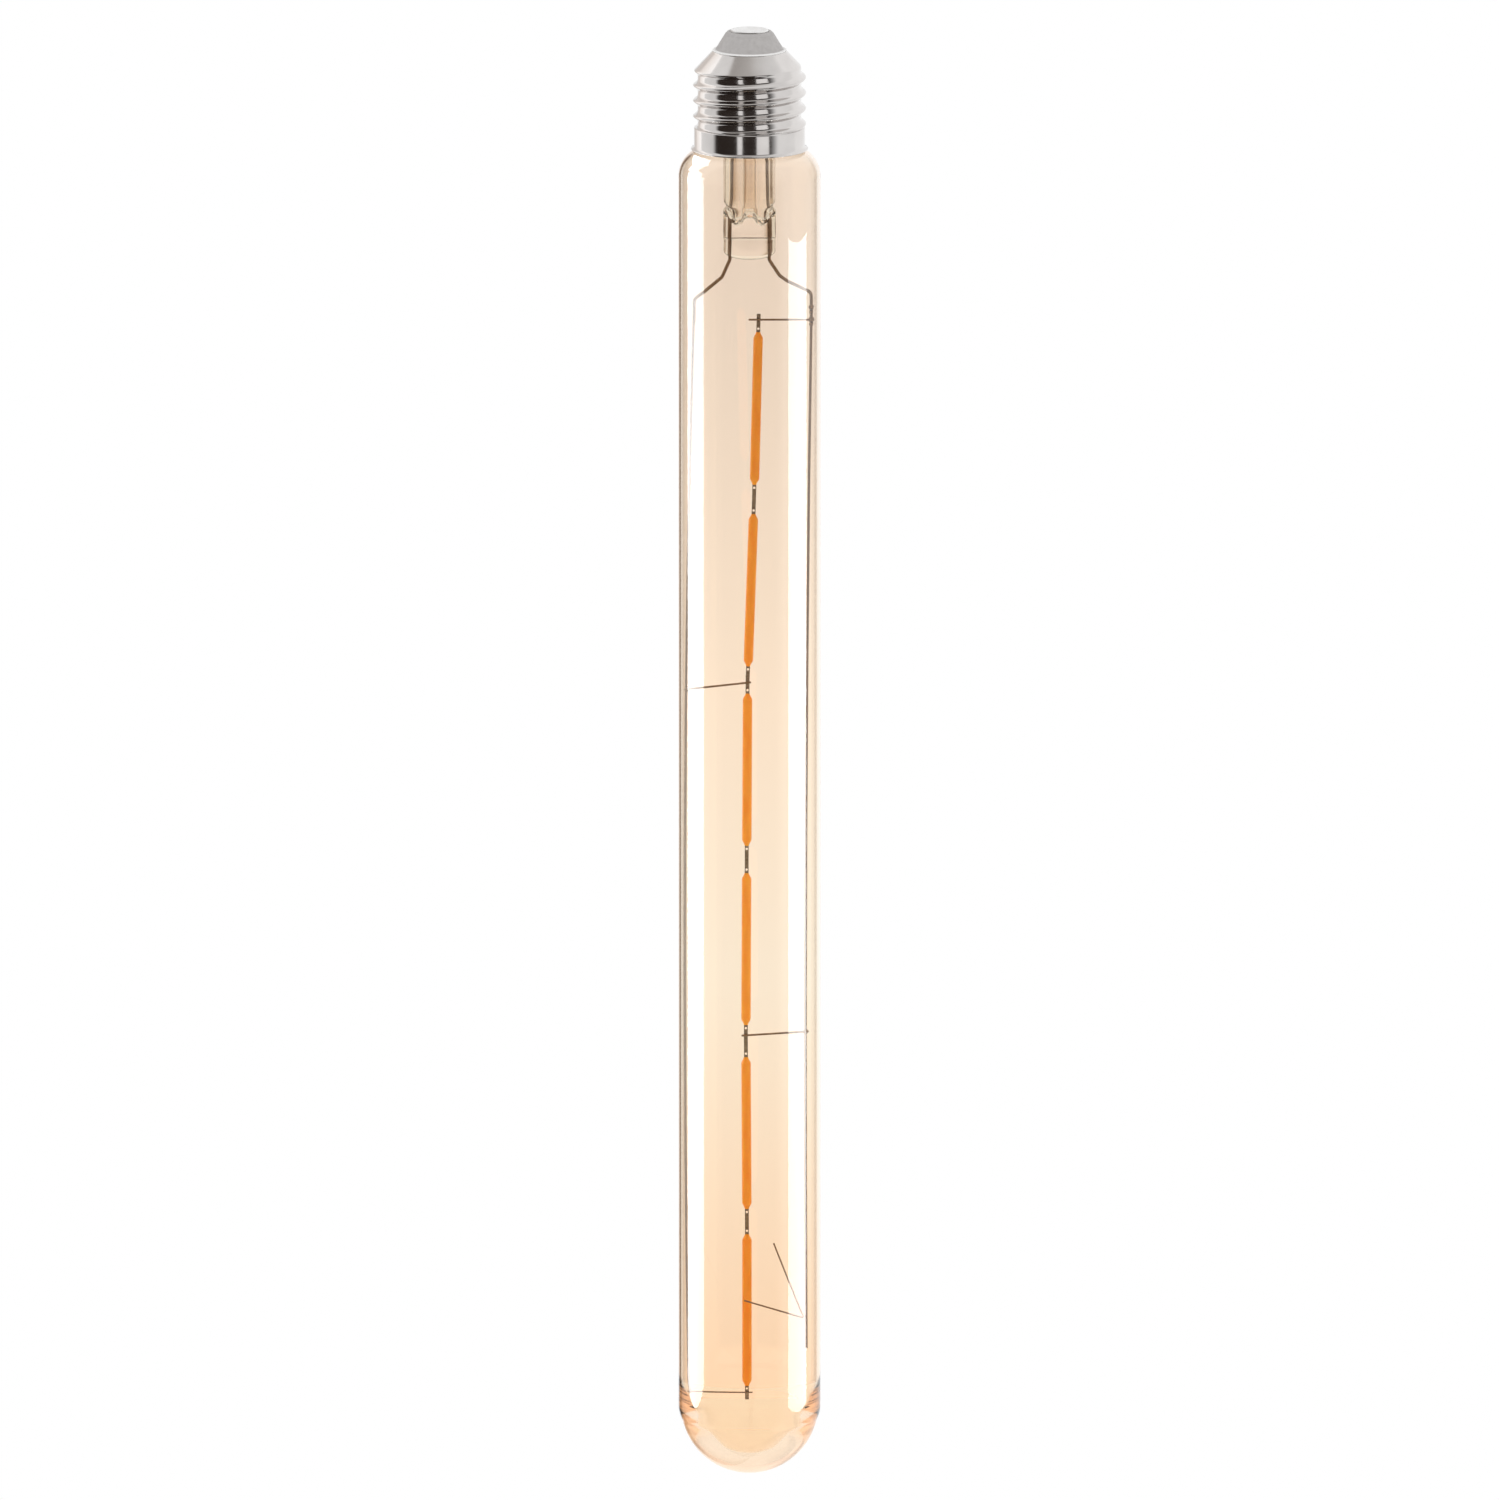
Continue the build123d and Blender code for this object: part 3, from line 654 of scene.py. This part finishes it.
def capShell(values):
    low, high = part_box("cap_shell")
    lip = high.x
    top = high.z - values["beadHeight"]
    coneEnd = top - values["coneHeight"]
    threadEnd = coneEnd - values["threadLength"]
    skirtTop = threadEnd - values["skirtStep"]
    helixStart = skirtTop - values["runIn"]
    slope = (values["root"] - values["bead"]) / values["coneHeight"]
    narrowing = (values["skirt"] - values["root"]) / values["skirtStep"]
    wall = values["wall"]

    def threadRadius(level, turn):  # cone above, rounded thread, skirt below
        phase = (level - helixStart) / values["pitch"] - turn / (2 * math.pi)
        ridge = (0.5 + 0.5 * math.cos(2 * math.pi * phase)) ** values["sharpness"]
        cone = values["bead"] + (top - level) * slope
        radius = softMin(cone, values["root"] + values["depth"] * ridge, values["coneBlend"])
        fade = max(0.0, min(1.0, (level - skirtTop) / values["skirtStep"]))
        if level < threadEnd:
            radius = values["root"] + (radius - values["root"]) * fade
        skirt = values["skirt"] - max(0.0, level - skirtTop) * narrowing
        return -softMin(-radius, -skirt, values["blend"])

    roll = values["beadHeight"] / 6
    bead = arc(values["bead"] - roll, top, roll, 90, 0, 4)
    lipTop = low.z + values["lipHeight"]
    rows = int((top - lipTop) / values["rowHeight"])
    side = [(values["root"], top - (top - lipTop) * row / rows) for row in range(1, rows)]
    flare = arc(lip - wall / 2, low.z + wall / 2, wall / 2, 60, -120, 8)
    skirtBore = values["skirt"] - wall
    rootBore = values["root"] - wall
    inside = [(skirtBore, lipTop), (skirtBore, skirtTop), (rootBore, threadEnd), (rootBore, coneEnd),
              (values["bead"] - wall, top - wall), (values["mouth"], top - wall), (values["mouth"], top),
              (values["beadInner"], top + roll)]
    profile = bead + side + [(values["skirt"], lipTop)] + flare + inside
    bm = spinProfile(profile, values["steps"])
    bmesh.ops.remove_doubles(bm, verts=bm.verts, dist=mergeGap)
    for vert in bm.verts:           # press the thread into the plain side
        reach = math.hypot(vert.co.x, vert.co.y)
        if abs(reach - values["root"]) < 2 * mergeGap:
            pressed = threadRadius(vert.co.z, math.atan2(vert.co.y, vert.co.x)) / reach
            vert.co.x *= pressed
            vert.co.y *= pressed
    bmesh.ops.recalc_face_normals(bm, faces=bm.faces)
    return addPiece(bm, "capShell", platedCap, "cap_metal", "cap_shell")


capShell(shellValues)
print("cap shell ready")


# insulator cone and centre contact

insulatorValues = {
    "topRadius": 5.3 * mm,
    "baseRadius": 8.1 * mm,
    "edge": 0.35 * mm,
    "grooveDrop": 0.75 * mm,
    "grooveDepth": 0.07 * mm,
    "grooveStep": 0.12 * mm,
    "rimRadius": 8.55 * mm,
    "rimRound": 0.12 * mm,
    "rimEdge": 0.05 * mm,
    "rimDrop": 0.1 * mm,
    "rimGap": 0.08 * mm,            # between the rim and the shell
    "seatDepth": 0.4 * mm,          # of the contact in the top
    "seatEdge": 0.05 * mm,
    "steps": 160,
}


def capInsulator(values):
    low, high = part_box("cap_insulator")
    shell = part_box("cap_shell")[1].z - shellValues["beadHeight"]
    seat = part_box("centre_contact")[1].x
    edge = values["edge"]
    topRadius = values["topRadius"]
    slope = (values["baseRadius"] - topRadius) / (high.z - shell)
    lean = math.degrees(math.atan2(slope, 1))
    rim = arc(topRadius - edge, high.z - edge, edge, 90, lean, 8)
    grooveLevel = high.z - values["grooveDrop"]

    def coneAt(level, inset=0.0):
        return (topRadius + (high.z - level) * slope - inset, level)

    step = values["grooveStep"]
    groove = [coneAt(grooveLevel + 2 * step), coneAt(grooveLevel + step),
              coneAt(grooveLevel, values["grooveDepth"]),
              coneAt(grooveLevel - step), coneAt(grooveLevel - 2 * step)]
    rimLevel = shell + shellValues["beadHeight"]
    rimFoot = shell + values["rimGap"]
    rimRadius = values["rimRadius"]
    mouth = shellValues["mouth"]
    foot = [coneAt(rimLevel + values["rimRound"]), coneAt(rimLevel + values["rimEdge"]),
            (rimRadius - values["rimRound"], rimLevel), (rimRadius, rimLevel - values["rimDrop"]),
            (rimRadius, rimFoot), (mouth, rimFoot), (mouth, low.z)]
    seatLevel = high.z - values["seatDepth"]
    seatEdge = values["seatEdge"]
    top = [(0, seatLevel), (seat, seatLevel), (seat, high.z - seatEdge), (seat + seatEdge, high.z)]
    bm = spinProfile(top + rim + groove + foot + [(0, low.z)], values["steps"], closed=False)
    closeUp(bm)
    return addPiece(bm, "capInsulator", paleInsulator, "insulator", "cap_insulator")


capInsulator(insulatorValues)

contactValues = {
    "edge": 0.16 * mm,
    "dish": 0.05 * mm,
    "dishRadius": 3.6 * mm,
    "dishEdge": 0.15 * mm,
    "pin": 1.4 * mm,
    "disc": 0.8 * mm,
    "steps": 128,
}


def centreContact(values):
    low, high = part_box("centre_contact")
    radius = high.x
    edge = values["edge"]
    face = [(0, high.z - values["dish"]), (values["dishRadius"], high.z - values["dish"]),
            (values["dishRadius"] + values["dishEdge"], high.z)]
    rim = arc(radius - edge, high.z - edge, edge, 90, 0, 6)
    under = high.z - values["disc"]
    back = [(radius, under), (values["pin"], under), (values["pin"], low.z), (0, low.z)]
    bm = spinProfile(face + rim + back, values["steps"], closed=False)
    closeUp(bm)
    return addPiece(bm, "centreContact", contactDisc, "contact_metal", "centre_contact")


centreContact(contactValues)
print("insulator and contact ready")


# wires, pins and the pieces hidden in the cap keep their CAD shape

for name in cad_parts:
    if name.endswith("_pin"):
        dressNode(name, pinMetal)
    elif name.startswith(("lead_in", "rail", "cross_wire", "spring", "side_lead")):
        dressNode(name, nickelWire)
dressNode("cap_cement", mouldedMaterial("cappingCement", (0.55, 0.50, 0.42), (0.68, 0.63, 0.55), 900.0))
dressNode("driver_board", mouldedMaterial("boardLacquer", (0.66, 0.68, 0.62), (0.76, 0.78, 0.72), 500.0))
chipPackage = mouldedMaterial("chipPackage", (0.025, 0.025, 0.028), (0.05, 0.05, 0.054), 1600.0)
resistorFilm = mouldedMaterial("resistorFilm", (0.05, 0.05, 0.055), (0.10, 0.10, 0.11), 1600.0)
for name in ("bridge_rectifier", "driver_chip"):
    dressNode(name, chipPackage)
for name in ("chip_resistor_1", "chip_resistor_2"):
    dressNode(name, resistorFilm)
dressNode("fuse_resistor", mouldedMaterial("fuseLacquer", (0.30, 0.42, 0.33), (0.40, 0.52, 0.42), 900.0))
print("wires and driver dressed")


# weld beads where the wires are joined

weldValues = {
    "inset": 0.75 * mm,             # from the end of the cross wire to the middle of the weld
    "lumps": 0.1,                   # share of the radius
    "tipSlice": 0.05 * mm,          # points this near the end of the wire give its middle
    # wire, side of its joint, then height and radius of each bead in mm
    "joints": [
        ("cross_wire_1", 1, [(3.0, 0.62), (1.9, 0.48), (0.1, 0.68), (-1.0, 0.52)]),
        ("cross_wire_2", -1, [(0.0, 0.58)]),
        ("cross_wire_3", 1, [(0.0, 0.58)]),
    ],
    "segments": 20,
    "rings": 12,
}


def weldBeads(values):
    bm = bmesh.new()
    for wire, side, beads in values["joints"]:
        corners = [vert.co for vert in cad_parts[wire].data.vertices]
        reach = max(side * corner.x for corner in corners)
        tip = [corner for corner in corners if side * corner.x > reach - values["tipSlice"]]
        middle = sum(tip, Vector()) / len(tip)
        middle.x -= side * values["inset"]
        for height, size in beads:
            radius = size * mm
            bead = bmesh.ops.create_uvsphere(bm, u_segments=values["segments"], v_segments=values["rings"],
                                             radius=radius)
            for vert in bead["verts"]:
                turn = math.atan2(vert.co.y, vert.co.x)
                swell = 1 + values["lumps"] * math.sin(3 * turn + 4 * vert.co.z / radius)
                vert.co = middle + Vector((0, 0, height * mm)) + vert.co * swell
    closeUp(bm)
    return addPiece(bm, "weldBeads", nickelWire, "wire")


weldBeads(weldValues)
print("weld beads ready")


# studio: surroundings by kind of ray, a pale floor, seven softboxes and the camera

skyColours = {
    "bright": (1.12, 1.12, 1.12),
    "blush": (1.1, 1.01, 1.0),
    "white": (1.0, 1.0, 1.0),
    "cream": (1.0, 0.97, 0.93),
    "ivory": (0.95, 0.92, 0.9),
    "sand": (0.95, 0.9, 0.85),
    "pale": (0.9, 0.9, 0.9),
    "haze": (0.6, 0.58, 0.56),
    "taupe": (0.6, 0.53, 0.48),
    "clay": (0.6, 0.47, 0.37),
    "tan": (0.6, 0.44, 0.33),
    "dusk": (0.5, 0.48, 0.46),
    "grey": (0.4, 0.4, 0.4),
    "umber": (0.24, 0.18, 0.14),
    "coffee": (0.25, 0.16, 0.10),
    "brown": (0.2, 0.13, 0.09),
    "dark": (0.03, 0.022, 0.018),
}

# stretches of the surroundings, by angle from the camera in degrees, negative to the left
darkFront = [(-82, "pale"), (-74, "dark"), (44, "dark"), (52, "grey"), (62, "white")]
backLeft = [(-180, "blush"), (-175, "blush"), (-169, "tan"),
            (-164, "brown"), (-157, "brown"), (-154, "cream")]
backRight = [(170, "blush"), (180, "blush")]
throughRight = [(0, "sand"), (118, "white"), (122, "clay"), (146, "clay"), (150, "ivory")]
edgesRight = [(122, "pale"), (126, "coffee"), (144, "coffee"), (149, "ivory")]
ringLeft = [(-180, "white"), (-164, "white"), (-159, "umber"),
            (-147, "umber"), (-142, "taupe"), (-117, "white")]
ringRight = [(106, "white"), (114, "bright"), (160, "bright"), (180, "white")]

studioValues = {
    "elevation": 10.5,              # degrees, camera above the horizontal
    "pixelsPerMetre": 4310.0,
    "imageHeight": 1500,
    "topPixel": 31.3,               # row of the contact's face in the picture
    "lens": 1300.0,
    "sensor": 36.0,
    "floorDrop": 0.26,
    "floorSize": 1.6,
    "plainLight": 0.9,              # level of the surroundings on matte surfaces
    # mirrored surroundings, level and above
    "ring": ringLeft + darkFront + ringRight,
    "sky": [(-180, "white"), (-88, "white"), (-80, "dusk"), (0, "haze"), (90, "pale"), (180, "white")],
    # what is seen through the glass, with a dark front in the narrow band only
    "through": backLeft + throughRight + backRight,
    "edges": backLeft + darkFront + edgesRight + backRight,
    "skyRise": (0.70, 0.85),        # height of the direction at which the ring gives way to the sky
    "ground": 0.9,                  # level below the wide band, for what is seen through the glass
    "ceiling": 1.25,                # the same above the wide band
    "horizonBlend": 0.1,
    # height of the direction where each band starts, is full, is still full and ends
    "narrowBand": (-0.26, -0.23, -0.12, -0.09),
    "wideBand": (-0.44, -0.38, 0.20, 0.32),
    # angle, distance, width, lowest and highest edge, radiance, piece it shines on
    "softboxes": [
        (-99, 0.5, 0.365, -0.42, 0.08, 10.0, "glassEnvelope"),
        (-106, 0.5, 0.344, 0.08, 0.19, 10.0, "glassEnvelope"),
        (-134, 0.5, 0.61, 0.19, 0.56, 10.0, "glassEnvelope"),
        (82, 0.15, 0.104, -0.351, -0.072, 10.0, "glassEnvelope"),
        (-20, 1.2, 0.22, -0.7, 0.35, 1.0, "capShell"),
        (28, 1.2, 0.56, -0.7, 0.35, 1.0, "capShell"),
        (-139, 0.5, 0.37, -0.6, 0.58, 0.6, "capShell"),
    ],
}


def floorMaterial():
    material, tree, shader = newMaterial("paleFloor", {"Roughness": 0.9})
    grain = noiseOn(tree, 40.0, (1, 1, 1), 3.0)
    colour = rampOn(tree, grain, [(0.3, (0.88, 0.88, 0.88)), (0.7, (0.92, 0.92, 0.92))])
    tree.links.new(colour, shader.inputs["Base Color"])
    path = tree.nodes.new("ShaderNodeLightPath").outputs
    seen = mathOn(tree, "MAXIMUM", path["Is Camera Ray"], path["Is Transmission Ray"])
    shader.inputs["Emission Color"].default_value = (1.0, 1.0, 1.0, 1.0)
    tree.links.new(rangeOn(tree, seen, 0.0, 0.2), shader.inputs["Emission Strength"])
    return material


def addFloor(values):
    bm = bmesh.new()
    bmesh.ops.create_grid(bm, x_segments=4, y_segments=4, size=values["floorSize"] / 2)
    bmesh.ops.translate(bm, verts=bm.verts, vec=(0, 0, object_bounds()[0][2] - values["floorDrop"]))
    mesh = bpy.data.meshes.new("floor")
    bm.to_mesh(mesh)
    bm.free()
    mesh.materials.append(floorMaterial())
    floor = bpy.data.objects.new("floor", mesh)
    floor.visible_glossy = False
    bpy.context.scene.collection.objects.link(floor)
    floor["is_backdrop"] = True


def studioWorld(values):
    world = bpy.data.worlds.new("studio")
    world.use_nodes = True
    bpy.context.scene.world = world
    tree = world.node_tree
    axes = axesOn(tree, "Generated")
    angle = mathOn(tree, "ARCTAN2", axes["X"], mathOn(tree, "MULTIPLY", axes["Y"], -1.0))
    share = rangeOn(tree, angle, 0.0, 1.0, -math.pi, math.pi)
    ramps = {}
    for key in ("ring", "through", "edges", "sky"):
        stops = [((turn + 180) / 360, skyColours[colour]) for turn, colour in values[key]]
        ramps[key] = rampOn(tree, share, stops)
    lift = rangeOn(tree, axes["Z"], 0.0, 1.0, -1.0, 1.0)
    bands = {}
    for key in ("narrowBand", "wideBand"):
        stops = [((height + 1) / 2, (level,) * 3) for height, level in zip(values[key], (0.0, 1.0, 1.0, 0.0))]
        bands[key] = rampOn(tree, lift, stops)
    rise = rangeOn(tree, axes["Z"], 0.0, 1.0, *values["skyRise"])
    path = tree.nodes.new("ShaderNodeLightPath").outputs
    mirrored = mixOn(tree, rise, ramps["ring"], ramps["sky"])
    blend = values["horizonBlend"]
    outside = rangeOn(tree, axes["Z"], values["ground"], values["ceiling"], -blend, blend)
    inBand = mixOn(tree, bands["wideBand"], outside, ramps["through"])
    refracted = mixOn(tree, bands["narrowBand"], inBand, ramps["edges"])
    around = mixOn(tree, path["Is Transmission Ray"], mirrored, refracted)
    bounced = mathOn(tree, "MAXIMUM", path["Is Glossy Ray"], path["Is Transmission Ray"])
    shiny = mathOn(tree, "MULTIPLY", bounced, mathOn(tree, "LESS_THAN", path["Diffuse Depth"], 0.5))
    lit = mixOn(tree, shiny, values["plainLight"], around)
    seen = mixOn(tree, path["Is Camera Ray"], lit, 1.0)
    tree.links.new(seen, tree.nodes["Background"].inputs["Color"])


def addSoftbox(number, turn, distance, width, lowEdge, highEdge, radiance, target):
    lamp = bpy.data.lights.new(f"softbox{number}", "AREA")
    lamp.shape = "RECTANGLE"
    lamp.size = width
    lamp.size_y = highEdge - lowEdge
    lamp.energy = radiance * math.pi * width * lamp.size_y
    light = bpy.data.objects.new(lamp.name, lamp)
    angle = math.radians(turn)
    light.location = (distance * math.sin(angle), -distance * math.cos(angle), (lowEdge + highEdge) / 2)
    light.rotation_euler = (math.pi / 2, 0, angle)
    light.visible_camera = False
    light.visible_transmission = False  # only mirrored, not seen through the glass
    bpy.context.scene.collection.objects.link(light)
    group = bpy.data.collections.new(lamp.name + "Target")
    group.objects.link(bpy.data.objects[target])
    light.light_linking.receiver_collection = group


def addCamera(values):
    tilt = math.radians(values["elevation"])
    drop = (values["imageHeight"] / 2 - values["topPixel"]) / values["pixelsPerMetre"] / math.cos(tilt)
    frameHeight = values["imageHeight"] / values["pixelsPerMetre"]
    distance = frameHeight * values["lens"] / values["sensor"]
    lens = bpy.data.cameras.new("camera")
    lens.lens = values["lens"]
    lens.sensor_width = values["sensor"]
    camera = bpy.data.objects.new("camera", lens)
    camera.location = (0, -distance * math.cos(tilt), distance * math.sin(tilt) - drop)
    camera.rotation_euler = (math.pi / 2 - tilt, 0, 0)
    bpy.context.scene.collection.objects.link(camera)
    bpy.context.scene.camera = camera


addFloor(studioValues)
studioWorld(studioValues)
for number, softbox in enumerate(studioValues["softboxes"], 1):
    addSoftbox(number, *softbox)
addCamera(studioValues)
scene = bpy.context.scene
scene.view_settings.view_transform = "Standard"
scene.cycles.max_bounces = 32
scene.cycles.transmission_bounces = 32
scene.cycles.glossy_bounces = 12
print("studio ready")
